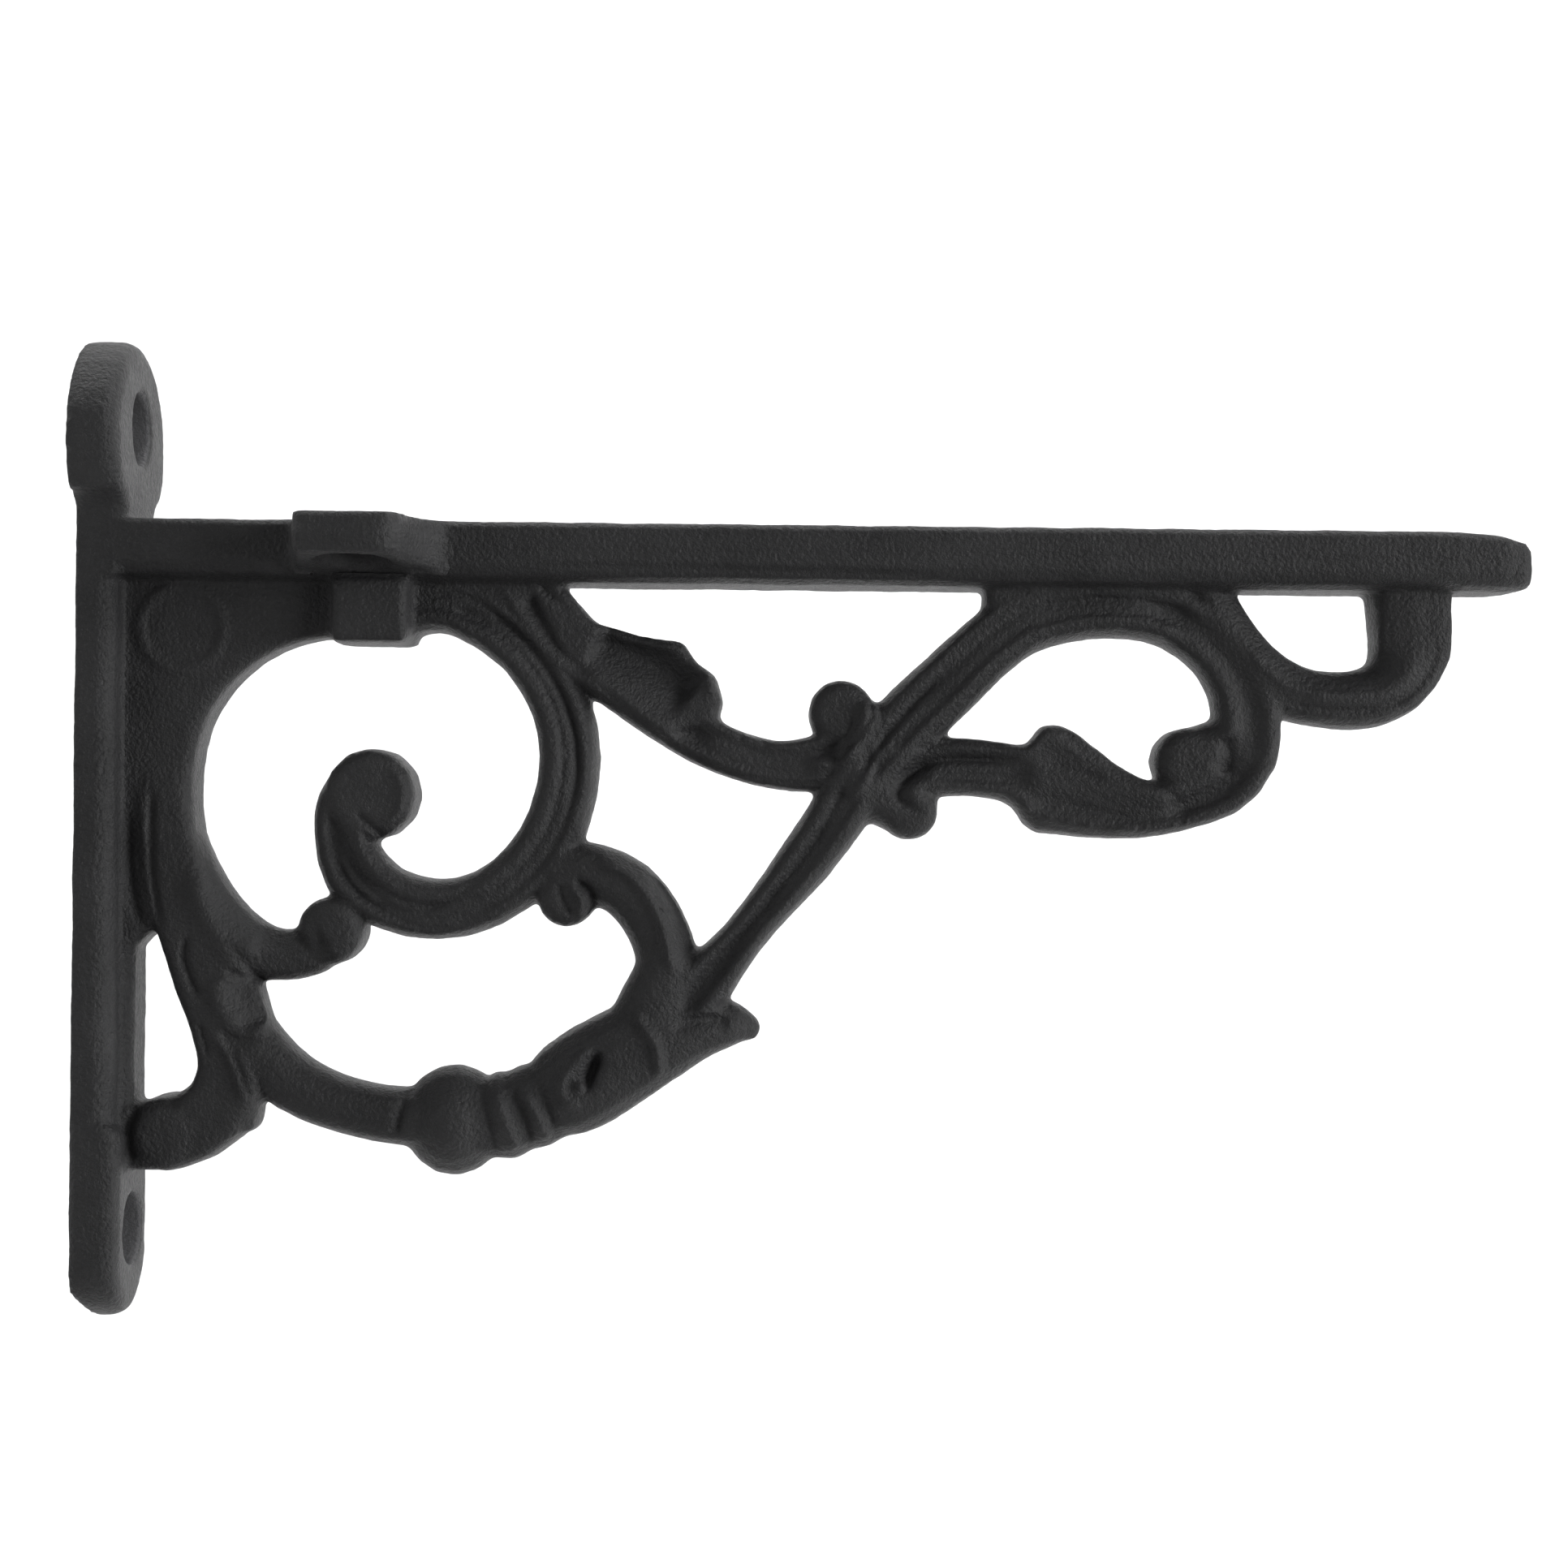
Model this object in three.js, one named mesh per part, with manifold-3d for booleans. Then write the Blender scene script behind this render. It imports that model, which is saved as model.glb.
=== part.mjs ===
// Cast iron shelf bracket with an openwork of scrolls, leaves and a pod under its arm.
// Millimetres. The wall is the plane x = 0, the shelf rests at z = 0 and the arm runs
// along +x. The scrolls lie about the plane y = 0, and the shelf ear is on the -y side.

import * as THREE from 'three';
import { mergeVertices } from 'three/addons/utils/BufferGeometryUtils.js';
import Module from 'manifold-3d';

// arm that carries the shelf
const armLength = 152.4;
const armWidth = 13.0;
const armHeight = 5.9;
const armTipRun = 8.0;
const armTipDrop = 1.4;

// leg that lies against the wall, with a bead down its front
const legWidth = 13.0;
const legDepth = 4.0;
const beadWidth = 6.4;
const beadReach = 5.4;

// screw lugs at the two ends of the leg
const upperLugThickness = 5.0;
const upperLugRadius = 10.9;
const upperLugCentre = 8.3;
const upperHoleHeight = 10.2;
const lowerLugThickness = 4.8;
const lowerLugWidth = 13.6;
const lowerHoleDepth = 75.2;
const lowerLugTail = 2.2;
const lowerLugNip = 1.8;
const lowerLugNipRise = 3.0;
const lugStepDepth = 66.5;
const lugHoleDiameter = 8.0;
const lugEdgeRound = 1.4;

// ear that screws to the underside of the shelf, and the block below it
const earCentre = 29.5;
const earReach = 15.7;
const earFrontWidth = 10.8;
const earRootWidth = 18.2;
const earWallSide = 6.9;
const earCorner = 1.3;
const earThickness = 3.9;
const earHoleDiameter = 7.6;
const earHoleEdge = 5.0;
const blockCentre = 30.5;
const blockWidth = 7.2;
const blockDrop = 12.4;
const blockDepth = 6.3;

// flat web in the corner of arm and leg
const webThickness = 7.0;
const webEdge = 0.7;

// The scrollwork is drawn on a squared grid. Its points count columns out from the wall
// and rows down from the shelf, and each has a half width and a half thickness in mm.
const scrollLength = 145.0;
const scrollDrop = 69.0;
const gridColumns = 145;
const gridRows = 69;

const holeFacets = 20;

const wasm = await Module();
wasm.setup();

function toSolid(geometry) {
  const bare = geometry.clone();
  bare.deleteAttribute('normal');
  bare.deleteAttribute('uv');
  const merged = mergeVertices(bare, 1e-4);
  const index = Array.from(merged.index.array);
  const place = merged.attributes.position.array;
  const triangles = [];
  for (let i = 0; i < index.length; i += 3) {
    const [a, b, c] = [index[i], index[i + 1], index[i + 2]];
    if (a !== b && b !== c && c !== a) triangles.push(a, b, c);
  }
  const mesh = new wasm.Mesh({
    numProp: 3,
    vertProperties: new Float32Array(place),
    triVerts: new Uint32Array(triangles),
  });
  return new wasm.Manifold(mesh);
}

function fromSolid(solid) {
  const mesh = solid.getMesh();
  const geometry = new THREE.BufferGeometry();
  geometry.setAttribute('position', new THREE.BufferAttribute(mesh.vertProperties, 3));
  geometry.setIndex(new THREE.BufferAttribute(mesh.triVerts, 1));
  geometry.computeVertexNormals();
  return geometry;
}

// Loops of equal length are skinned in turn and the two ends are closed.
function skin(loops) {
  const count = loops[0].length;
  const places = [];
  const index = [];
  for (const loop of loops) for (const p of loop) places.push(p.x, p.y, p.z);
  for (let s = 0; s + 1 < loops.length; s += 1) {
    for (let k = 0; k < count; k += 1) {
      const a = s * count + k;
      const b = s * count + (k + 1) % count;
      index.push(a, b, a + count, b, b + count, a + count);
    }
  }
  const ends = [[0, true], [loops.length - 1, false]];
  for (const [s, first] of ends) {
    const middle = new THREE.Vector3();
    for (const p of loops[s]) middle.add(p);
    middle.divideScalar(count);
    const hub = places.length / 3;
    places.push(middle.x, middle.y, middle.z);
    for (let k = 0; k < count; k += 1) {
      const a = s * count + k;
      const b = s * count + (k + 1) % count;
      if (first) index.push(hub, b, a);
      else index.push(hub, a, b);
    }
  }
  const geometry = new THREE.BufferGeometry();
  geometry.setAttribute('position', new THREE.Float32BufferAttribute(places, 3));
  geometry.setIndex(index);
  return geometry;
}

// A limb follows a smooth line in the plane y = 0. A station is x, z, half width and half
// thickness. A section point is a share of the half width and of the half thickness.
function limb(stations, section, stepsEach = 2) {
  const line = new THREE.CatmullRomCurve3(
    stations.map(([x, z]) => new THREE.Vector3(x, 0, z)), false, 'centripetal');
  const size = new THREE.CatmullRomCurve3(
    stations.map(([, , w, d]) => new THREE.Vector3(w, d, 0)), false, 'catmullrom', 0.4);
  const steps = (stations.length - 1) * stepsEach;
  const loops = [];
  for (let i = 0; i <= steps; i += 1) {
    const t = i / steps;
    const p = line.getPoint(t);
    const way = line.getTangent(t);
    const side = new THREE.Vector3(-way.z, 0, way.x);
    const s = size.getPoint(t);
    loops.push(section.map(([a, b]) => new THREE.Vector3(
      p.x + side.x * a * s.x, b * s.y, p.z + side.z * a * s.x)));
  }
  return toSolid(skin(loops));
}

const column = scrollLength / gridColumns;
const row = scrollDrop / gridRows;
const drawn = (points) => points.map(([x, z, w, d]) => [x * column, -z * row, w, d]);

// Sections: the near face is worked, and the far face is a plain swell.
const farSwell = [[-0.82, 0.74], [0, 1], [0.82, 0.74]];
const plainSection = [
  [1, 0], [0.93, -0.55], [0.68, -0.88], [0.26, -1],
  [-0.26, -1], [-0.68, -0.88], [-0.93, -0.55], [-1, 0], ...farSwell];
const flatSection = [
  [1, 0], [0.97, -0.6], [0.88, -0.92], [0.7, -1],
  [-0.7, -1], [-0.88, -0.92], [-0.97, -0.6], [-1, 0], ...farSwell];
const reedSection = [
  [1, 0], [0.94, -0.45], [0.76, -0.8], [0.52, -0.93], [0.36, -0.76],
  [-0.22, -0.76], [-0.38, -1], [-0.7, -1], [-0.93, -0.68], [-1, 0], ...farSwell];
const channelSection = [
  [1, 0], [0.95, -0.6], [0.78, -0.96], [0.5, -0.96], [0.32, -0.74],
  [-0.26, -0.78], [-0.42, -0.98], [-0.74, -0.94], [-0.94, -0.55], [-1, 0], ...farSwell];
const dishSection = [
  [1, 0], [0.97, -0.7], [0.84, -0.97], [0.55, -0.84], [0.05, -0.66],
  [-0.38, -0.78], [-0.68, -1], [-0.93, -0.72], [-1, 0], ...farSwell];
const ridgeSection = [
  [1, 0], [0.92, -0.5], [0.55, -0.8], [0.05, -1],
  [-0.3, -0.88], [-0.62, -0.84], [-0.93, -0.55], [-1, 0], ...farSwell];

// A boss is a round knob on the line of the scrolls, flat on both faces.
function boss(x, z, radius, halfDepth, facets = 12) {
  const round = Math.min(1.1, radius * 0.4, halfDepth * 0.4);
  const profile = [
    [0, -halfDepth], [radius - round, -halfDepth], [radius - round * 0.25, -halfDepth + round * 0.45],
    [radius, -halfDepth + round * 1.2], [radius, halfDepth - round * 1.2],
    [radius - round, halfDepth], [0, halfDepth],
  ].map(([r, y]) => new THREE.Vector2(r, y));
  const turned = new THREE.LatheGeometry(profile, facets);
  turned.translate(x * column, 0, -z * row);
  return toSolid(turned);
}

// A plate has its outline in the plane y, z and its thickness along x from the wall.
function wallPlate(outline, thickness, round) {
  const flat = new THREE.ExtrudeGeometry(outline, {
    depth: thickness - round, bevelEnabled: true, bevelThickness: round, bevelSize: round,
    bevelOffset: -round, bevelSegments: 2, curveSegments: 11,
  });
  flat.applyMatrix4(new THREE.Matrix4().set(
    0, 0, 1, 0,
    1, 0, 0, 0,
    0, 1, 0, 0,
    0, 0, 0, 1));
  return toSolid(flat).trimByPlane([1, 0, 0], 0);
}

function wallHole(height, diameter, thickness) {
  const pin = new THREE.CylinderGeometry(diameter / 2, diameter / 2, thickness * 4, holeFacets);
  pin.rotateZ(Math.PI / 2);
  pin.translate(0, 0, height);
  return toSolid(pin);
}

// arm: flat on top, grooved along its near face and rounded under
const armMiddle = -armHeight / 2;
const armSection = [
  [1, -0.94], [0.86, -1], [0.36, -1], [0.28, -0.95], [0.2, -1], [-0.42, -1], [-0.82, -0.88], [-1, -0.66],
  [-1, 0.66], [-0.82, 0.88], [-0.42, 1], [0.86, 1], [1, 0.94]];
const armStart = armLength - armTipRun;
const armLoops = [
  [0, 0, 0], [armStart, 0, 0], [armLength - armTipRun * 0.4, armTipDrop * 0.3, 0.2],
  [armLength - armTipRun * 0.1, armTipDrop * 0.75, 0.8], [armLength, armTipDrop * 1.2, 1.8],
].map(([x, drop, inset]) => armSection.map(([a, b]) => {
  const top = -drop;
  const bottom = -armHeight + inset * 0.3;
  const z = (top + bottom) / 2 + a * (top - bottom) / 2;
  return new THREE.Vector3(x, b * (armWidth / 2 - inset), z);
}));
const arm = toSolid(skin(armLoops));

// leg: flat on the wall, its shoulders rounded and a bead down the middle of its front
const legProfile = new THREE.Shape();
const legSide = [
  [0, 1], [0.58, 1], [0.8, 0.94], [0.94, 0.82], [1, 0.68], [1, 0.6]];
const halfLeg = legWidth / 2;
const halfBead = beadWidth / 2;
const legOutline = [
  ...legSide.map(([a, b]) => [a * legDepth, -b * halfLeg]),
  [legDepth + (beadReach - legDepth) * 0.25, -halfBead],
  [legDepth + (beadReach - legDepth) * 0.7, -halfBead],
  [beadReach, -halfBead * 0.72]];
legOutline.forEach(([x, y], i) => (i ? legProfile.lineTo(x, y) : legProfile.moveTo(x, y)));
[...legOutline].reverse().forEach(([x, y]) => legProfile.lineTo(x, -y));
const legBar = new THREE.ExtrudeGeometry(legProfile, { depth: lugStepDepth, bevelEnabled: false });
legBar.translate(0, 0, -lugStepDepth);
const leg = toSolid(legBar);

// upper lug: a round plate that narrows to the leg, and its screw hole
const upperOutline = new THREE.Shape();
upperOutline.moveTo(-halfLeg, -armHeight);
upperOutline.lineTo(halfLeg, -armHeight);
upperOutline.lineTo(halfLeg, 0);
upperOutline.quadraticCurveTo(halfLeg, upperLugCentre * 0.25,
  upperLugRadius * Math.cos(0.5), upperLugCentre - upperLugRadius * Math.sin(0.5));
upperOutline.absarc(0, upperLugCentre, upperLugRadius, -0.5, Math.PI + 0.5, false);
upperOutline.quadraticCurveTo(-halfLeg, upperLugCentre * 0.25, -halfLeg, 0);
const upperLug = wallPlate(upperOutline, upperLugThickness, lugEdgeRound);

// lower lug: a straight tongue with a round end, stepped off the leg and nipped at its foot
const halfLug = lowerLugWidth / 2;
const lowerOutline = new THREE.Shape();
lowerOutline.moveTo(halfLug, -lugStepDepth + 3);
lowerOutline.lineTo(-halfLug, -lugStepDepth + 3);
lowerOutline.absarc(0, -lowerHoleDepth - lowerLugTail, halfLug, Math.PI, Math.PI * 2, false);
const lugFoot = -lowerHoleDepth - lowerLugTail - halfLug;
const nipWay = new THREE.Vector3(lowerLugNipRise, 0, lowerLugNip).normalize();
const lowerLug = wallPlate(lowerOutline, lowerLugThickness, lugEdgeRound)
  .trimByPlane(nipWay.toArray(), nipWay.z * (lugFoot + lowerLugNipRise));

// shelf ear: a plate level with the shelf seat, on the near side only. It is straight on
// the side towards the wall and flares into the arm on the other.
const earOutline = new THREE.Shape();
const frontHalf = earFrontWidth / 2;
const rootHalf = earRootWidth / 2;
const earRoot = -armWidth / 2 + 1;
earOutline.moveTo(earCentre - earWallSide, earRoot);
earOutline.lineTo(earCentre - earWallSide, -armWidth / 2);
earOutline.lineTo(earCentre - frontHalf, -earReach + earCorner);
earOutline.quadraticCurveTo(
  earCentre - frontHalf, -earReach, earCentre - frontHalf + earCorner, -earReach);
earOutline.lineTo(earCentre + frontHalf - 2.6, -earReach);
earOutline.quadraticCurveTo(
  earCentre + frontHalf, -earReach, earCentre + frontHalf, -earReach + 2.6);
earOutline.quadraticCurveTo(
  earCentre + frontHalf + 1.0, -armWidth / 2 - 1.5, earCentre + rootHalf, -armWidth / 2);
earOutline.lineTo(earCentre + rootHalf, earRoot);
const earPlate = new THREE.ExtrudeGeometry(earOutline, {
  depth: earThickness, bevelEnabled: false, curveSegments: 6,
});
earPlate.translate(0, 0, -earThickness);
const ear = toSolid(earPlate);
const earPin = new THREE.CylinderGeometry(
  earHoleDiameter / 2, earHoleDiameter / 2, earThickness * 4, holeFacets);
earPin.rotateX(Math.PI / 2);
earPin.translate(earCentre, earHoleEdge - earReach, 0);
const earHole = toSolid(earPin);

// block under the ear: a square collar round the top of the ring
const blockLoops = [
  [-blockDepth, 0], [-blockDepth + 1.2, 0.35], [0, 0.5], [webThickness / 2 + 0.4, 0.4],
].map(([y, swell]) => {
  const half = blockWidth / 2 + swell;
  const foot = -blockDrop - swell * 0.4;
  return [[-half, foot], [half, foot], [half, -armHeight / 2], [-half, -armHeight / 2]].map(
    ([x, z]) => new THREE.Vector3(blockCentre + x, y, z));
});
const block = toSolid(skin(blockLoops.map((loop) => loop.reverse())));

// web: a flat plate in the corner, cut away to the round of the ring
const webCorner = [[3, 3], [47, 3], [49, 6], [45, 10.5], [40, 9.2]];
const webRound = [
  [37, 11.1], [30.5, 11.5], [24.5, 12], [20.1, 13.3], [16.1, 16.1], [13.4, 19.6],
  [11.8, 23.9], [11.4, 28.4], [11.9, 33.4], [13.1, 36.8], [10.6, 40.8], [6.8, 43.6]];
const webFoot = [[5.2, 45.2], [3, 46]];
const webShape = new THREE.Shape();
const webRoundLine = new THREE.CatmullRomCurve3(
  webRound.map(([x, z]) => new THREE.Vector3(x, z, 0))).getPoints(22);
[...webCorner, ...webRoundLine.map((p) => [p.x, p.y]), ...webFoot].forEach(([x, z], i) => {
  const [px, pz] = [x * column, -z * row];
  if (i) webShape.lineTo(px, pz);
  else webShape.moveTo(px, pz);
});
const webPlate = new THREE.ExtrudeGeometry(webShape, {
  depth: webThickness - 2 * webEdge, bevelEnabled: true, bevelThickness: webEdge,
  bevelSize: webEdge, bevelOffset: -webEdge, bevelSegments: 1,
});
webPlate.translate(0, 0, -webThickness / 2 + webEdge);
webPlate.rotateX(Math.PI / 2);
const web = toSolid(webPlate);

// ring: a reeded band that runs from the block round the right and curls up inside
const ring = limb(drawn([
  [32, 8.4, 2.6, 3.9], [39.3, 8.6, 2.9, 4.1], [46.4, 13.0, 3.0, 4.2],
  [50.2, 18.9, 3.1, 4.2], [51.3, 24.5, 3.15, 4.2], [50.1, 31.2, 3.2, 4.2],
  [47.1, 36.1, 3.15, 4.2], [42.7, 39.5, 3.1, 4.2], [37.3, 40.8, 3.15, 4.2],
  [32, 39.6, 3.3, 4.2], [28.5, 36.6, 3.5, 4.1], [27, 32.5, 2.85, 4.0],
  [27.6, 29.4, 3.1, 3.9], [29.4, 26.6, 2.8, 3.8]]), reedSection);
const ringKnob = boss(30.3, 28.6, 4.8, 4.1);

// left flank: it leaves the web, narrows to the gap at the leg and turns to the foot
const flank = limb(drawn([
  [8.3, 25, 2.2, 3.4], [8.7, 31, 2.7, 4.0], [9.8, 37, 3.1, 4.2],
  [11.6, 42.9, 3.7, 4.3], [13.9, 48.5, 4.1, 4.4], [15.8, 53.4, 4.15, 4.4],
  [15.8, 58.3, 3.5, 4.3], [14.2, 62.3, 3.8, 4.2], [9.6, 64.9, 3.7, 4.0],
  [3.5, 65.0, 3.4, 3.6]]), flatSection);
const footPoint = limb(drawn([
  [15.4, 58.5, 2.9, 3.9], [16.5, 61.8, 2.5, 3.8], [16.9, 64.4, 1.6, 3.2]]), flatSection);
const footKnob = boss(9.1, 64.7, 3.85, 4.3);

// bud: a short branch that turns up to a knob against the underside of the ring
const budStem = limb(drawn([
  [10.6, 33.5, 1.6, 3.2], [12.1, 39.2, 2.9, 4.0], [15.3, 43.6, 3.2, 4.2], [19.8, 45.7, 2.7, 4.1],
  [24, 45.2, 2.6, 4.1], [26.3, 43, 3.0, 3.9]]), ridgeSection);
const budKnob = boss(26.2, 43.1, 3.5, 3.9);

// lower stem: it leaves the flank and runs to the ball
const lowerStem = limb(drawn([
  [16, 51.4, 2.4, 3.8], [18.6, 56.2, 3.1, 4.2], [22.3, 59.5, 3.05, 4.2],
  [26.6, 61.4, 2.85, 4.1], [30.6, 62.4, 2.9, 4.1], [34.5, 62.9, 3.0, 4.2],
  [38, 63.1, 3.0, 4.2]]), plainSection);

// ball on the stem
const ballGeometry = new THREE.SphereGeometry(1, 15, 9);
ballGeometry.scale(5.55, 5.2, 5.85);
ballGeometry.translate(39.3 * column, 0, -63.2 * row);
const ball = toSolid(ballGeometry);

// bands and pod: two turned bands, then a husk that tapers to a point
const pod = limb(drawn([
  [41, 63.1, 4.4, 4.5], [43.4, 62.9, 4.15, 4.3], [44.9, 62.6, 4.7, 4.8],
  [46.3, 62.2, 4.15, 4.4], [47.8, 61.6, 4.55, 4.8], [49.2, 61, 4.2, 4.5],
  [50.8, 60.1, 4.95, 4.9], [53.2, 58.7, 5.25, 5.1], [57.2, 56.2, 5.1, 5.1],
  [61.4, 54.2, 4.5, 4.6], [65.7, 53.0, 3.2, 3.9], [69.3, 52.7, 2.1, 2.9],
  [71.6, 53.5, 0.8, 1.2]]), plainSection, 2);

// hooked limb between the ring and the pod
const hookedLimb = limb(drawn([
  [49.6, 36.2, 2.6, 3.8], [53.6, 36.6, 3.05, 4.1], [57.6, 38.4, 3.15, 4.2],
  [60.4, 41.8, 3.15, 4.2], [61.8, 46, 3.2, 4.3], [60.8, 50, 3.7, 4.4],
  [58.6, 54, 3.6, 4.4]]), plainSection);
const hookKnob = boss(51.1, 39.4, 2.95, 4.0);

// strut and arch: the channelled bar from the pod up to the arm and over to the leaf
const strut = limb(drawn([
  [62.9, 52, 3.4, 4.1], [66.7, 47.3, 2.8, 4.1], [69.9, 43.4, 2.2, 4.1],
  [73.1, 39.4, 2.4, 4.1], [76.3, 35.4, 2.8, 4.1], [79.3, 31.1, 3.0, 4.2],
  [81.9, 27, 3.2, 4.2], [84.9, 23.1, 3.5, 4.2], [88.2, 19.4, 3.6, 4.2],
  [91.7, 16.0, 3.5, 4.2], [95.3, 12.5, 3.35, 4.2], [99.3, 9.5, 3.4, 4.2],
  [104.2, 8.3, 3.1, 4.2], [109.4, 8, 3.0, 4.2], [115.2, 8.9, 3.1, 4.2],
  [120.5, 13.1, 2.95, 4.2], [123.1, 18.6, 3.35, 4.2], [122.8, 23.3, 3.75, 4.1],
  [120.1, 27, 3.3, 4.0], [116.5, 28.8, 2.4, 3.8]]), channelSection, 2);

// crotch: a rounded fill where the arch runs in under the arm
const crotch = limb(drawn([[97.6, 4.6, 2.5, 3.9], [97.4, 8.0, 2.3, 3.9]]), flatSection);

// leaf vine: from the top of the ring the stem runs to the crossing and curls up to a knob
const vine = limb(drawn([
  [46, 5.6, 3.0, 3.8], [50.8, 11.9, 3.4, 4.0], [56.4, 16.2, 3.0, 4.0],
  [61.3, 19.7, 2.9, 4.0], [65.2, 22.3, 2.6, 4.0], [68.9, 24.0, 2.45, 3.9],
  [72.8, 25, 2.45, 3.9], [76.6, 25.0, 2.75, 4.0], [80.2, 23.8, 2.8, 4.0],
  [82.6, 21.4, 2.3, 4.0], [82.5, 18.6, 1.7, 3.9]]), dishSection);
const vineKnob = boss(80.1, 19.4, 3.4, 4.0);

// leaf blade: a hollowed plate that stands above the vine's stem and ends in a torn edge
const bladeThickness = 7.4;
const bladeEdge = 0.9;
const bladeShape = new THREE.Shape();
const bladeOutline = [
  [47, 6], [50.5, 8.3], [54, 10.3], [58.8, 11.6], [63.2, 12.2], [64.4, 14.2], [66.6, 15.7],
  [67.4, 18.4], [66.8, 20.6], [62, 22], [55, 18], [50, 13]];
bladeOutline.forEach(([x, z], i) => {
  const [px, pz] = [x * column, -z * row];
  if (i) bladeShape.lineTo(px, pz);
  else bladeShape.moveTo(px, pz);
});
const bladePlate = new THREE.ExtrudeGeometry(bladeShape, {
  depth: bladeThickness - 2 * bladeEdge, bevelEnabled: true, bevelThickness: bladeEdge,
  bevelSize: bladeEdge * 0.6, bevelOffset: -bladeEdge * 0.6, bevelSegments: 1,
});
bladePlate.translate(0, 0, -bladeThickness / 2 + bladeEdge);
bladePlate.rotateX(Math.PI / 2);
const blade = toSolid(bladePlate);

// lower curl at the crossing
const lowerCurl = limb(drawn([
  [81, 25.6, 2.6, 3.9], [84.3, 28.5, 2.6, 4.0], [87.2, 29.6, 2.7, 3.9]]), plainSection);
const lowerKnob = boss(87.4, 29.7, 3.0, 3.9);

// right leaf: a level stem that opens into a leaf and meets the foot of the arch
const leaf = limb(drawn([
  [83.5, 25.8, 2.4, 3.8], [88, 25.2, 2.95, 3.9], [93, 25, 3.0, 3.9],
  [97.2, 25.4, 2.95, 3.9], [99.2, 25.9, 3.3, 3.9], [100.4, 26.1, 5.0, 4.0],
  [102.0, 26.25, 5.9, 4.0], [104.4, 27.1, 5.2, 4.0], [107.6, 28.3, 4.2, 4.0],
  [111.9, 29.3, 3.05, 4.0], [116.4, 29.0, 2.4, 4.0], [120.3, 27.2, 2.6, 3.8]]), dishSection, 2);
const leafKnob = boss(116.8, 24.2, 3.45, 3.8);
const leafBridge = limb(drawn([
  [116.4, 24, 2.6, 3.5], [119, 22.8, 2.6, 3.5], [122, 22, 2.6, 3.5]]), plainSection, 2);

// end scroll: from the arch under the arm and up to the tip of the bracket
const endScroll = limb(drawn([
  [117.0, 4.2, 3.4, 3.9], [121.8, 11.3, 2.7, 4.1], [125.6, 15.4, 3.0, 4.2],
  [130, 17.2, 2.95, 4.2], [134.8, 17.5, 3.1, 4.2], [138.9, 16, 3.45, 4.2],
  [140.6, 12.4, 4.2, 4.2], [140.4, 8.2, 4.2, 4.2], [140.3, 3.4, 4.6, 4.2]]), ridgeSection, 2);

const pieces = [
  arm, leg, upperLug, lowerLug, ear, block, web, ring, ringKnob, flank, footPoint, footKnob, budStem,
  budKnob, lowerStem, ball, pod, hookedLimb, hookKnob, strut, crotch, vine, vineKnob, blade, lowerCurl,
  lowerKnob, leaf, leafKnob, leafBridge, endScroll];
let casting = pieces[0];
for (const piece of pieces.slice(1)) casting = casting.add(piece);
const upperHole = wallHole(upperHoleHeight, lugHoleDiameter, upperLugThickness);
const lowerHole = wallHole(-lowerHoleDepth, lugHoleDiameter, lowerLugThickness);
for (const hole of [upperHole, lowerHole, earHole]) casting = casting.subtract(hole);

const blackIron = new THREE.MeshStandardMaterial({
  name: 'black_iron', color: 0x2b2b2c, roughness: 0.62, metalness: 0.0,
});
const bracket = new THREE.Mesh(fromSolid(casting), blackIron);
bracket.name = 'bracket';

const group = new THREE.Group();
group.name = 'shelf_bracket';
group.add(bracket);
export default group;
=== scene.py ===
import math

import bpy
import numpy as np
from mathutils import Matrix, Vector


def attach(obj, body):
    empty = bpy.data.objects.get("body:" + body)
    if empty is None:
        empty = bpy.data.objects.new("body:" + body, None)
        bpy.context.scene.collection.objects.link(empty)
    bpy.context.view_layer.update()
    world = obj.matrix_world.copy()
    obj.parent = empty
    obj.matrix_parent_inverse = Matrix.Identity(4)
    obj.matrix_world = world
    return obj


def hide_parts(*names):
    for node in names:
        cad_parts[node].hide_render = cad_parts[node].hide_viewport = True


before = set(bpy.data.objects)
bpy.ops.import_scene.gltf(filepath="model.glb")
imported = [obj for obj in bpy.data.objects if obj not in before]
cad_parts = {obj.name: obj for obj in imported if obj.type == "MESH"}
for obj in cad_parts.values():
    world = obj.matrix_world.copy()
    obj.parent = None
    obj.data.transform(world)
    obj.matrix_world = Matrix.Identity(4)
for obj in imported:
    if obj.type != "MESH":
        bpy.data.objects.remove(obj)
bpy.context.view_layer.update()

# The camera stands level with the middle of the openwork, square to the side of the
# bracket and about 28 cm from it, and it is turned a little, so that the arm droops.
MM = 0.001
middle_x, middle_z, camera_far = 74.1, -27.0, 277.6
droop = math.radians(0.6)
camera_data = bpy.data.cameras.new("camera")
camera_data.sensor_width = 36.0
camera_data.lens = 59.6
camera_data.clip_start = 0.01
camera = bpy.data.objects.new("camera", camera_data)
camera.location = (middle_x * MM, -camera_far * MM, middle_z * MM)
camera.rotation_euler = (math.radians(90.0), -droop, 0.0)
bpy.context.scene.collection.objects.link(camera)
bpy.context.scene.camera = camera


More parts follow.
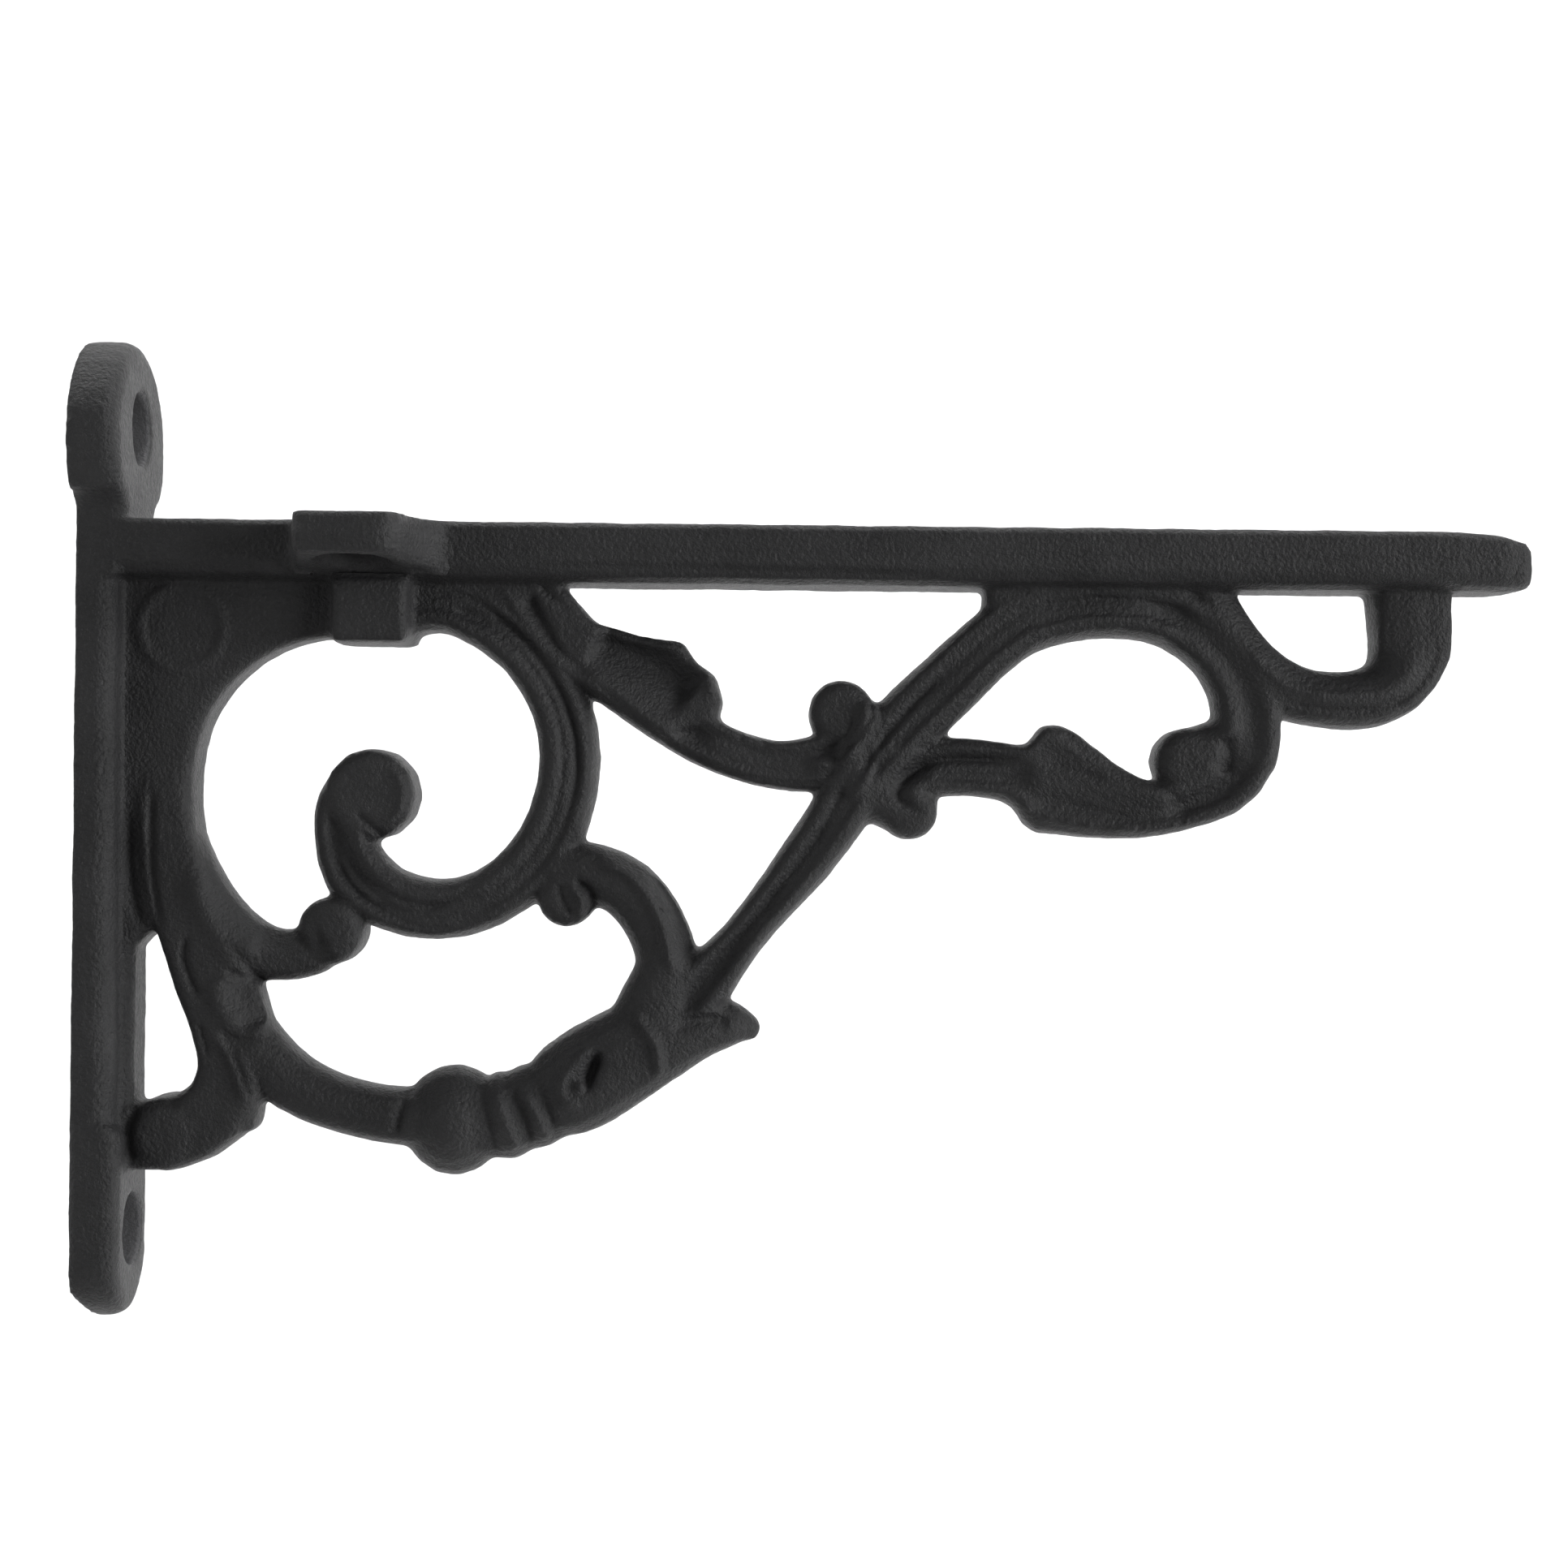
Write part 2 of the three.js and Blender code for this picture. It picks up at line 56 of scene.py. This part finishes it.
# The casting: one piece of grey iron poured in a sand mould, with soft edges and a skin
# that keeps the grain of the sand. The solid is taken over and its facets are melted
# together, most of all along the scrolls, which a pattern-maker carved by hand.
grid = 0.36
limb_top = -6.2
paint_film = 0.14
bpy.ops.object.select_all(action="DESELECT")
source = bpy.data.objects["bracket"]
casting = source.copy()
casting.data = source.data.copy()
casting.name = "bracket_casting"
bpy.context.scene.collection.objects.link(casting)
bpy.context.view_layer.objects.active = casting
casting.select_set(True)
bpy.ops.object.mode_set(mode="EDIT")
bpy.ops.mesh.select_all(action="SELECT")
bpy.ops.mesh.remove_doubles(threshold=0.01 * MM)
bpy.ops.object.mode_set(mode="OBJECT")


def finish_modifier(kind, **settings):
    modifier = casting.modifiers.new(kind.lower(), kind)
    for name, value in settings.items():
        setattr(modifier, name, value)
    bpy.ops.object.modifier_apply(modifier=modifier.name)


finish_modifier("REMESH", mode="VOXEL", voxel_size=grid * MM, use_smooth_shade=True)


def read_skin():
    mesh = casting.data
    places = np.empty(len(mesh.vertices) * 3)
    mesh.vertices.foreach_get("co", places)
    normals = np.empty(len(mesh.vertices) * 3)
    mesh.vertex_normals.foreach_get("vector", normals)
    return places.reshape(-1, 3) / MM, normals.reshape(-1, 3)


def write_skin(places):
    casting.data.vertices.foreach_set("co", (places * MM).ravel())
    casting.data.update()


def ease(low, high, value):
    share = np.clip((value - low) / (high - low), 0.0, 1.0)
    return share * share * (3.0 - 2.0 * share)


def weigh(name, amounts, floor=0.05):
    group = casting.vertex_groups.new(name=name)
    for level in range(1, 11):
        low, high = (level - 1) / 10 + floor, level / 10 + floor
        inside = np.nonzero((amounts > low) & (amounts <= high))[0]
        group.add(inside.tolist(), level / 10, "REPLACE")


places, normals = read_skin()
carved = ease(5.4, 4.9, np.abs(places[:, 1])) * ease(limb_top, limb_top - 1.2, places[:, 2])
carved *= ease(5.0, 7.0, places[:, 0])
weigh("scrolls", carved, floor=0.0)
finish_modifier("SMOOTH", factor=0.5, iterations=3, vertex_group="scrolls")
finish_modifier("SMOOTH", factor=0.5, iterations=1)

# Where two limbs meet, the corner between their sides was filled with wax on the pattern.
places, normals = read_skin()
pairs = np.empty(len(casting.data.edges) * 2, dtype=int)
casting.data.edges.foreach_get("vertices", pairs)
start, end = pairs.reshape(-1, 2).T
degree = np.bincount(pairs, minlength=len(places))


def average(values):
    total = np.bincount(start, values[end], len(values)) + np.bincount(end, values[start], len(values))
    return total / np.maximum(degree, 1)


pull = np.stack([average(places[:, axis]) for axis in range(3)], axis=1) - places
hollow = ease(0.012, 0.05, (pull * normals).sum(axis=1)) * ease(0.7, 0.4, np.abs(normals[:, 1]))
for step in range(6):
    hollow = np.maximum(hollow, average(hollow) * 1.05)
hollow = np.clip(hollow * 1.2, 0.0, 1.0) * ease(4.0, 7.0, places[:, 0])
weigh("fillets", hollow)
finish_modifier("SMOOTH", factor=0.5, iterations=40, vertex_group="fillets")

# The right end of the arch is plain and half round, its reeds rubbed away on the pattern,
# and the end scroll turns in one even sweep.
arch_end = (121.5, -16.5)
turning = ease(9.5, 7.0, np.hypot(places[:, 0] - arch_end[0], places[:, 2] - arch_end[1]))
turning *= ease(0.3, 0.6, np.abs(normals[:, 1]))
sweep_side = ease(127.5, 130.5, places[:, 0]) * ease(-6.4, -8.6, places[:, 2])
turning = np.maximum(turning, sweep_side * ease(0.6, 0.3, np.abs(normals[:, 1])))
weigh("rubbed_end", turning)
finish_modifier("SMOOTH", factor=0.5, iterations=60, vertex_group="rubbed_end")

# The outlines of the limbs were filed to even curves, with no flats left on them.
filed = ease(0.55, 0.3, np.abs(normals[:, 1])) * ease(limb_top, limb_top - 1.2, places[:, 2])
filed *= ease(6.0, 8.0, places[:, 0])
weigh("outlines", filed)
finish_modifier("SMOOTH", factor=0.5, iterations=14, vertex_group="outlines")
finish_modifier("DISPLACE", strength=paint_film * MM, mid_level=0.0)
places, normals = read_skin()


# Strokes of the carver's gouge. Each is a line on the face of the casting, in mm out from
# the wall and up from the shelf seat, with a width and a depth. A groove sinks the face
# and a ridge raises it, and both die out towards the ends of the line.
def smooth_line(points, each=6):
    points = np.array(points, float)
    ends = np.vstack([2 * points[0] - points[1], points, 2 * points[-1] - points[-2]])
    line = []
    for a, b, c, d in zip(ends, ends[1:], ends[2:], ends[3:]):
        for step in range(each):
            t = step / each
            line.append(0.5 * (2 * b + (c - a) * t + (2 * a - 5 * b + 4 * c - d) * t * t
                               + (3 * b - a - 3 * c + d) * t ** 3))
    line.append(points[-1])
    return np.array(line)


def stroke(points, width, depth, kind="groove", fade=0.18):
    line = smooth_line(points)
    reach = width * 2.5
    facing = -normals[:, 1]
    low, high = line.min(axis=0) - reach, line.max(axis=0) + reach
    x, y, z = places.T
    near = np.nonzero((x > low[0]) & (x < high[0]) & (z > low[1]) & (z < high[1])
                      & (y < -0.8) & (facing > 0.1))[0]
    spot = places[near][:, [0, 2]]
    best = np.full(len(near), 1e9)
    along = np.zeros(len(near))
    lengths = np.linalg.norm(np.diff(line, axis=0), axis=1)
    total = lengths.sum()
    run = 0.0
    for a, b, length in zip(line, line[1:], lengths):
        way = (b - a) / max(length, 1e-9)
        offset = spot - a
        t = np.clip(offset @ way, 0.0, length)
        gap = offset - t[:, None] * way
        distance = np.hypot(gap[:, 0], gap[:, 1])
        closer = distance < best
        best[closer] = distance[closer]
        along[closer] = (run + t[closer]) / total
        run += length
    shape = np.exp(-(best / width) ** 2)
    if fade:
        shape *= ease(0.0, fade, along) * ease(0.0, fade, 1.0 - along)
    shape *= ease(0.1, 0.45, facing[near])
    places[near, 1] += shape * (depth if kind == "groove" else -depth)


# Arm: the groove along its near side is almost filled by the paint, and the ear's
# underside runs down to the arm.
stroke([(2, -2.1), (80, -2.1), (150, -2.2)], 0.45, 0.2, "ridge", fade=0)
stroke([(44, -4.3), (75, -4.7), (94, -5.2)], 0.35, 0.25)
x, y, z = places.T
ear_middle, ear_tip, ear_slope = 29.5, -15.7, 0.12
under = (np.abs(x - ear_middle) < 9.5) & (y < -6.0) & (z < -2.9) & (z > -4.6) & (normals[:, 2] < -0.5)
places[under, 2] -= ear_slope * (y[under] - ear_tip)

# Web and leg: a low plain ring cast on the web, and a fine ridge where it meets the leg.
mark_x, mark_z, mark_radius = 10.4, -11.2, 4.4
round_mark = []
for step in range(17):
    turn = step * math.pi / 8
    round_mark.append((mark_x + mark_radius * math.cos(turn), mark_z + mark_radius * math.sin(turn)))
stroke(round_mark, 0.5, 0.3, "ridge", fade=0)
stroke([(3.8, -8.0), (3.9, -24), (4.1, -40.0)], 0.3, 0.25, "ridge")

# Block under the ear: the lower edge of the arm runs on over its top.
stroke([(24.0, -5.5), (28.5, -5.5), (34.6, -5.5)], 0.4, 0.7, fade=0.05)

# Left flank: folds that run down from the web, a ledge at the stem and the round foot.
stroke([(4.9, -30), (5.0, -36), (5.7, -40.7), (6.8, -43.7)], 0.4, 0.4)
stroke([(11.8, -36.5), (13.4, -41.0), (16.0, -44.4), (19.6, -46.2)], 1.4, 0.55, "ridge")
stroke([(14.6, -47.8), (15.0, -50.6), (16.8, -53.4)], 1.1, 0.6, "ridge")
stroke([(7.4, -27.6), (7.5, -34.3), (7.7, -37.4), (8.1, -39.9), (8.8, -43.6)], 0.34, 0.55)
stroke([(6.1, -27.0), (6.3, -34), (6.8, -39), (7.7, -43.5)], 0.6, 0.2, "ridge")
stroke([(11.4, -43.4), (11.1, -45.7), (11.7, -47.9), (13.0, -50.4)], 0.32, 0.55)
stroke([(17.2, -47.6), (17.9, -50.4), (19.6, -53.2)], 1.7, 1.1)
stroke([(14.8, -53.9), (17.3, -54.6), (19.6, -54.3)], 0.4, 0.4)
stroke([(15.6, -47.1), (17.2, -47.9), (19.4, -48.2)], 0.4, 0.6)
stroke([(13.8, -53.4), (15.2, -55.0), (16.2, -56.9), (17.1, -59.2), (17.8, -61.6)], 0.34, 0.45, "ridge")
stroke([(16.8, -55.3), (17.9, -57.9), (18.8, -60.9)], 0.34, 0.3, "ridge")
stroke([(12.8, -52.6), (13.3, -54.5), (13.9, -56.4)], 0.32, 0.5)
stroke([(6.4, -61.8), (5.4, -63.4), (5.1, -65.4), (5.8, -67.8)], 0.45, 0.7)
stroke([(6.4, -61.6), (8.5, -61.4), (10.9, -61.7)], 0.4, 0.35)

# Bud on its short branch, which drops away from the flank.
stroke([(18.6, -44.0), (21.2, -45.0), (23.8, -45.2), (26.2, -44.2)], 1.6, 0.7, fade=0.05)
stroke([(23.3, -41.2), (22.8, -42.6), (23.3, -44.4), (24.6, -45.4)], 0.4, 0.4)

# Ring: its broad reed is low, fine quirks part it from the rims and run on into the
# curl, and the knob is flat in a thin bead.
stroke([(39.3, -8.6), (46.4, -13.0), (50.2, -18.9), (51.3, -24.5), (50.1, -31.2), (47.1, -36.1),
        (42.7, -39.5), (37.3, -40.8), (32, -39.6), (28.5, -36.6), (27, -32.5)], 0.95, 0.55, "ridge")
stroke([(33.6, -8.6), (39.5, -7.3), (45.2, -10.8), (49.6, -16.4), (52.0, -22), (52.3, -27),
        (51.0, -32)], 0.34, 0.4)
stroke([(43.5, -40.9), (38, -42.6), (34.4, -42.0), (31.4, -40.6), (28.9, -38.7), (27.2, -36.2),
        (26.5, -33.4)], 0.34, 0.35)
stroke([(46.4, -33.2), (42.4, -37.2), (38.6, -39.8), (34.6, -40.9), (32.1, -39.9), (30.3, -38.1),
        (28.8, -36.1), (28.2, -33.4)], 0.34, 0.35)
stroke([(29.0, -31.6), (29.4, -33.4), (30.1, -35.2), (31.8, -37.3), (34.4, -38.5)], 0.3, 0.35, "ridge")
stroke([(32.2, -25.0), (33.6, -26.9), (34.0, -28.7), (33.4, -30.6), (31.8, -32.0)], 0.3, 0.3, "ridge")
stroke([(29.0, -30.4), (30.6, -31.9), (32.0, -33.2)], 0.34, 0.5)

# Hooked limb: flat, with a sharp right edge, and the small volute in its hook.
stroke([(53.4, -35.0), (57.0, -36.2), (58.9, -37.7), (60.3, -39.6), (61.4, -41.9), (62.0, -44.3),
        (62.5, -46.4), (63.6, -47.4)], 0.5, 0.7, "ridge")
stroke([(59.8, -36.4), (61.8, -38.6), (63.0, -41.2), (63.7, -44.0), (64.5, -46.4)], 0.8, 0.8)
stroke([(50.4, -37.6), (51.0, -39.6), (52.0, -41.2)], 0.3, 0.45)
stroke([(51.4, -37.5), (52.5, -38.9), (52.9, -40.0), (52.4, -41.2)], 0.3, 0.5, "ridge")
stroke([(52.0, -37.4), (53.6, -38.4), (54.0, -39.9), (53.1, -41.6)], 0.34, 0.7)

# Ball, its collar and its two slanting bands.
stroke([(34.9, -59.2), (34.1, -62.0), (33.5, -64.6)], 0.5, 0.6)
stroke([(42.6, -59.0), (43.2, -62.4), (44.5, -66.5)], 0.5, 0.3)
stroke([(44.0, -59.2), (44.8, -62.0), (45.8, -64.2), (46.6, -66.4)], 0.45, 0.3, "ridge")
stroke([(45.8, -58.8), (46.9, -62.0), (48.0, -65.2)], 0.5, 0.45)
stroke([(47.0, -59.2), (48.3, -62.0), (49.4, -64.2), (50.2, -65.6)], 0.4, 0.3, "ridge")
stroke([(48.5, -58.4), (49.7, -62.0), (50.8, -64.8)], 0.45, 0.3)

# Pod: an eye cut deep with a bead left in it, a lip across the husk and a hollow tip.
stroke([(55.0, -55.2), (53.7, -57.6), (52.4, -59.6)], 0.7, 0.6, fade=0.4)
stroke([(55.3, -54.9), (54.3, -57.5), (53.3, -60.0)], 0.45, 1.5, fade=0.4)
stroke([(53.1, -58.8), (53.1, -58.9)], 0.4, 1.1, "ridge", fade=0)
stroke([(54.0, -54.8), (52.0, -57.0), (51.1, -58.9), (51.5, -60.4), (53.0, -61.2)], 0.36, 0.5, "ridge",
       fade=0.1)
stroke([(58.3, -51.0), (59.7, -52.8), (60.7, -54.2), (61.2, -55.8), (61.3, -58.4)], 0.5, 0.7, "ridge")
stroke([(62.4, -53.2), (64.4, -52.2), (66.8, -51.9), (68.8, -52.5)], 0.7, 0.55)
stroke([(63.6, -51.5), (65.8, -51.0), (68.4, -51.5)], 0.35, 0.35, "ridge")

# Strut and arch: a broad low band between two quirks, which runs up to the arm and over.
stroke([(68.4, -45.6), (73.1, -39.4), (79.3, -31.1), (84.9, -23.1), (91.7, -16.0), (99.3, -9.5), (109.4, -8),
        (115.2, -8.9)], 1.35, 0.7, "ridge", fade=0.08)
stroke([(68.6, -44.6), (72.5, -39.6), (76.4, -34.6), (80, -29.4)], 0.4, 0.3)
stroke([(77.6, -31.0), (81.4, -27.6), (83.5, -23.8), (86.6, -20.2), (89.0, -16.9), (91.4, -13.9),
        (94.8, -10.6), (98.5, -7.9), (103, -6.6)], 0.34, 0.25)
stroke([(78.5, -30.2), (82.0, -27.3), (84.1, -23.6), (87.1, -20.0), (89.5, -16.8)], 0.34, 0.35, "ridge")
stroke([(87.3, -23.4), (89.7, -21.2), (92.5, -18.7), (96.6, -14.4), (100.6, -11.6)], 0.36, 0.45)

# Vine: a quirk parts the lower rim of its stem, which swings up round the knob beside the
# strut, and the leaf falls away from the stem into a hollow below its own torn edge.
stroke([(64.6, -21.9), (68.9, -24.0), (72.8, -25), (76.6, -25.0), (80.2, -23.8)], 0.9, 0.7, "ridge")
stroke([(50.8, -13.6), (55.4, -17.5), (60.0, -21.2), (64.0, -23.8), (68.0, -25.6), (72.9, -26.7),
        (77.1, -26.9), (79.6, -25.6), (81.4, -23.9), (82.9, -21.9)], 0.34, 0.45)
stroke([(76.0, -24.9), (79.4, -24.6), (82.4, -22.6)], 1.0, 0.8, "ridge", fade=0.3)
stroke([(79.6, -23.9), (81.6, -22.2), (82.7, -20.0), (82.6, -17.8)], 0.8, 0.8, "ridge")
stroke([(77.0, -24.4), (79.4, -23.0), (81.0, -21.2), (81.4, -19.4)], 0.3, 0.35)
stroke([(79.0, -25.6), (81.9, -23.2), (83.3, -20.8), (83.7, -18.6), (83.0, -16.9)], 0.4, 0.35, "ridge")
stroke([(52.0, -14.8), (55.6, -17.3), (59.4, -20.1), (63.4, -22.5)], 0.9, 0.75, "ridge")
stroke([(53.8, -11.6), (57.4, -13.4), (61.4, -15.4), (64.6, -17.8)], 2.1, 1.9, fade=0.1)
stroke([(54.2, -10.8), (58.8, -12.2), (63.0, -12.9)], 0.4, 0.35, "ridge")
stroke([(63.8, -13.9), (65.8, -15.8), (66.6, -18.0)], 0.45, 0.4, "ridge")

# Right leaf: its face is nearly flat and bevelled along its upper edge. There are reeds
# on its stem, a dip beside the curl behind it, and the small curl below the crossing.
stroke([(97.4, -25.2), (101, -26), (104.4, -26.9), (108, -28), (112, -28.8), (117, -28.8)], 2.0, 1.0,
       "ridge")
stroke([(88.6, -25.3), (93, -25.1), (99.5, -25.4)], 0.8, 0.6, "ridge")
stroke([(87.3, -23.6), (89.1, -22.9), (92.5, -22.4), (98.6, -22.8)], 0.36, 0.5)
stroke([(98.6, -24.5), (93.4, -24.2), (90.0, -24.5), (87.8, -25.6), (86.5, -27.1), (86.2, -28.4),
        (87.4, -29.2), (89.4, -30.3)], 0.36, 0.55)
stroke([(90.6, -26.0), (88.6, -26.6), (87.8, -27.8), (88.8, -28.8)], 0.7, 0.35, "ridge")
stroke([(102.4, -20.4), (105.5, -22.9), (107.8, -24.4), (110.6, -26.0), (113.3, -26.9), (116.5, -28.1)],
       0.5, 0.5)
stroke([(101.4, -24.6), (104.4, -25.2), (108.4, -26.4)], 0.4, 0.2)
stroke([(103.4, -28.9), (107.4, -29.5), (111.0, -30.3), (114.5, -30.2)], 0.4, 0.2)
stroke([(120.6, -21.4), (121.0, -23.4), (120.4, -25.6)], 0.9, 0.8)

# End scroll: an outer rim that runs round to the arm, and a bevel above it. Its stub, where
# it meets the arm, is almost flat.
stroke([(126.0, -17.4), (128.4, -18.1), (132, -18.6), (136.4, -18.4), (140.4, -16.6), (142.6, -13.2),
        (143.0, -9)], 0.4, 0.4)
stroke([(122.4, -11.8), (126.8, -16.0), (131.5, -16.9), (136, -16.5)], 0.5, 0.25, "ridge")
x, y, z = places.T
stub = ease(135.9, 137.2, x) * ease(145.0, 144.2, x) * ease(-5.0, -6.2, z) * ease(-15.0, -11.0, z)
stub *= ease(0.05, 0.4, -normals[:, 1])
crown = y[stub > 0.9].min() + 0.4
places[:, 1] += 0.75 * stub * (crown - y)

# The skin of the iron: slow waves from the carved pattern, then the grain of the sand.
write_skin(places)
finish_modifier("SMOOTH", factor=0.5, iterations=1)
waves = bpy.data.textures.new("pattern_waves", "CLOUDS")
waves.noise_scale = 5.0 * MM
grit = bpy.data.textures.new("sand_grain", "CLOUDS")
grit.noise_scale = 0.7 * MM
finish_modifier("DISPLACE", texture=waves, strength=0.22 * MM, mid_level=0.5)
finish_modifier("DISPLACE", texture=grit, strength=0.09 * MM, mid_level=0.5)
most_faces = 190000
faces = len(casting.data.polygons) * 2
finish_modifier("DECIMATE", decimate_type="COLLAPSE", ratio=min(1.0, most_faces / faces))
bpy.ops.object.shade_smooth()


# Satin black paint over sand-cast iron, brushed on thin: dull, near black, and the grain
# of the casting shows through it. In the holes of the two lugs a paler grey is painted
# in as painted light, standing in for the grazing light that falls on their walls.
def linear(hex_colour):
    parts = [int(hex_colour[i:i + 2], 16) / 255 for i in (1, 3, 5)]
    return [p / 12.92 if p <= 0.04045 else ((p + 0.055) / 1.055) ** 2.4 for p in parts] + [1.0]


def add(tree, kind, links=(), **settings):
    node = tree.nodes.new(kind)
    for name, value in settings.items():
        if name in node.inputs:
            node.inputs[name].default_value = value
        else:
            setattr(node, name, value)
    for socket, origin in links:
        tree.links.new(origin, node.inputs[socket])
    return node


paint = bpy.data.materials.new("black_paint_on_cast_iron")
paint.use_nodes = True
tree = paint.node_tree
shader = tree.nodes["Principled BSDF"]
place = add(tree, "ShaderNodeTexCoord").outputs["Object"]
grain = add(tree, "ShaderNodeTexNoise", [("Vector", place)], Scale=1 / (0.45 * MM), Detail=4.0,
            Roughness=0.6)
blotch = add(tree, "ShaderNodeTexNoise", [("Vector", place)], Scale=1 / (9 * MM), Detail=4.0, Roughness=0.55)
tone = add(tree, "ShaderNodeValToRGB", [("Fac", blotch.outputs["Fac"])])
tone.color_ramp.elements[0].position = 0.3
tone.color_ramp.elements[0].color = linear("#2b2b2c")
tone.color_ramp.elements[1].position = 0.72
tone.color_ramp.elements[1].color = linear("#39393a")
# A mask of the walls of the two lug holes, where a paler grey is painted as painted light.
across = add(tree, "ShaderNodeVectorMath", [(0, place)], operation="MULTIPLY")
across.inputs[1].default_value = (0, 1, 1)
gaps = []
upper_hole, lower_hole, hole_radius = 10.2, -75.2, 4.05
for height in (upper_hole, lower_hole):
    gap = add(tree, "ShaderNodeVectorMath", [(0, across.outputs[0])], operation="DISTANCE")
    gap.inputs[1].default_value = (0, 0, height * MM)
    gaps.append(gap.outputs["Value"])
nearest = add(tree, "ShaderNodeMath", [(0, gaps[0]), (1, gaps[1])], operation="MINIMUM").outputs[0]
hole_light_mask = add(tree, "ShaderNodeMapRange", [("Value", nearest)])
hole_light_mask.inputs["From Min"].default_value = (hole_radius + 0.1) * MM
hole_light_mask.inputs["From Max"].default_value = (hole_radius - 0.1) * MM
# Painted light: inside the lug holes the random tone is mixed to a paler grey (#58585a), which stands in for
# the light on their walls.
tone_and_hole_light = add(tree, "ShaderNodeMix", [("Factor", hole_light_mask.outputs["Result"])], data_type="RGBA")
tree.links.new(tone.outputs["Color"], tone_and_hole_light.inputs[6])
tone_and_hole_light.inputs[7].default_value = linear("#58585a")
dull = add(tree, "ShaderNodeMapRange", [("Value", grain.outputs["Fac"])])
dull.inputs["From Min"].default_value = 0.3
dull.inputs["From Max"].default_value = 0.7
dull.inputs["To Min"].default_value = 0.4
dull.inputs["To Max"].default_value = 0.56
relief = add(tree, "ShaderNodeBump", [("Height", grain.outputs["Fac"])], Strength=1.0, Distance=0.3 * MM)
tree.links.new(tone_and_hole_light.outputs[2], shader.inputs["Base Color"])
tree.links.new(dull.outputs["Result"], shader.inputs["Roughness"])
tree.links.new(relief.outputs["Normal"], shader.inputs["Normal"])
shader.inputs["IOR"].default_value = 1.46
casting.data.materials.clear()
casting.data.materials.append(paint)

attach(casting, "root")
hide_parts("bracket")

# Studio: a pale floor that sweeps up into a white backdrop, a wide light on the right,
# a weaker one on the left, one above, and a wash on the backdrop.
bpy.ops.object.select_all(action="DESELECT")
bpy.ops.mesh.primitive_plane_add(size=1.6, location=(middle_x * MM, 0.42, -0.3))
sweep = bpy.context.object
sweep.scale.y = 0.6
sweep.name = "floor_sweep"
bpy.ops.object.mode_set(mode="EDIT")
bpy.ops.mesh.select_all(action="SELECT")
bpy.ops.mesh.subdivide(number_cuts=3)
bpy.ops.mesh.select_all(action="DESELECT")
bpy.ops.object.mode_set(mode="OBJECT")
for edge in sweep.data.edges:
    ends = [sweep.matrix_world @ sweep.data.vertices[v].co for v in edge.vertices]
    edge.select = all(p.y > 0.85 for p in ends)
bpy.ops.object.mode_set(mode="EDIT")
bpy.ops.mesh.select_mode(type="EDGE")
bpy.ops.mesh.extrude_region_move(TRANSFORM_OT_translate={"value": (0, 0, 1.6)})
bpy.ops.object.mode_set(mode="OBJECT")
bend = sweep.modifiers.new("bend", "BEVEL")
bend.width = 0.35
bend.segments = 12
bend.angle_limit = math.radians(60)
bpy.context.view_layer.objects.active = sweep
bpy.ops.object.modifier_apply(modifier="bend")
bpy.ops.object.transform_apply(location=True, rotation=True, scale=True)
bpy.ops.object.shade_smooth()
paper = bpy.data.materials.new("white_paper")
paper.use_nodes = True
paper.node_tree.nodes["Principled BSDF"].inputs["Base Color"].default_value = linear("#f4f4f4")
paper.node_tree.nodes["Principled BSDF"].inputs["Roughness"].default_value = 0.9
sweep.data.materials.append(paper)

world = bpy.data.worlds.new("studio")
bpy.context.scene.world = world
world.use_nodes = True
world.node_tree.nodes["Background"].inputs["Color"].default_value = (1, 1, 1, 1)
world.node_tree.nodes["Background"].inputs["Strength"].default_value = 0.19


def soft_light(name, place, aim, size, power):
    lamp = bpy.data.lights.new(name, "AREA")
    lamp.shape = "RECTANGLE"
    lamp.size, lamp.size_y = size
    lamp.energy = power
    holder = bpy.data.objects.new(name, lamp)
    holder.location = place
    way = Vector(aim) - Vector(place)
    holder.rotation_euler = way.to_track_quat("-Z", "Y").to_euler()
    bpy.context.scene.collection.objects.link(holder)


bracket_middle = (0.07, 0.0, -0.03)
soft_light("right_window", (1.9, -0.72, 0.13), bracket_middle, (1.2, 1.2), 28.0)
soft_light("left_window", (-0.65, -0.15, 0.05), bracket_middle, (0.5, 0.6), 1.2)
soft_light("top_window", (0.1, 0.05, 0.7), bracket_middle, (0.8, 0.6), 0.6)
soft_light("backdrop_wash", (0.07, 0.15, 0.5), (0.07, 0.9, -0.05), (1.2, 0.3), 8.0)
bpy.context.scene.view_settings.view_transform = "Standard"
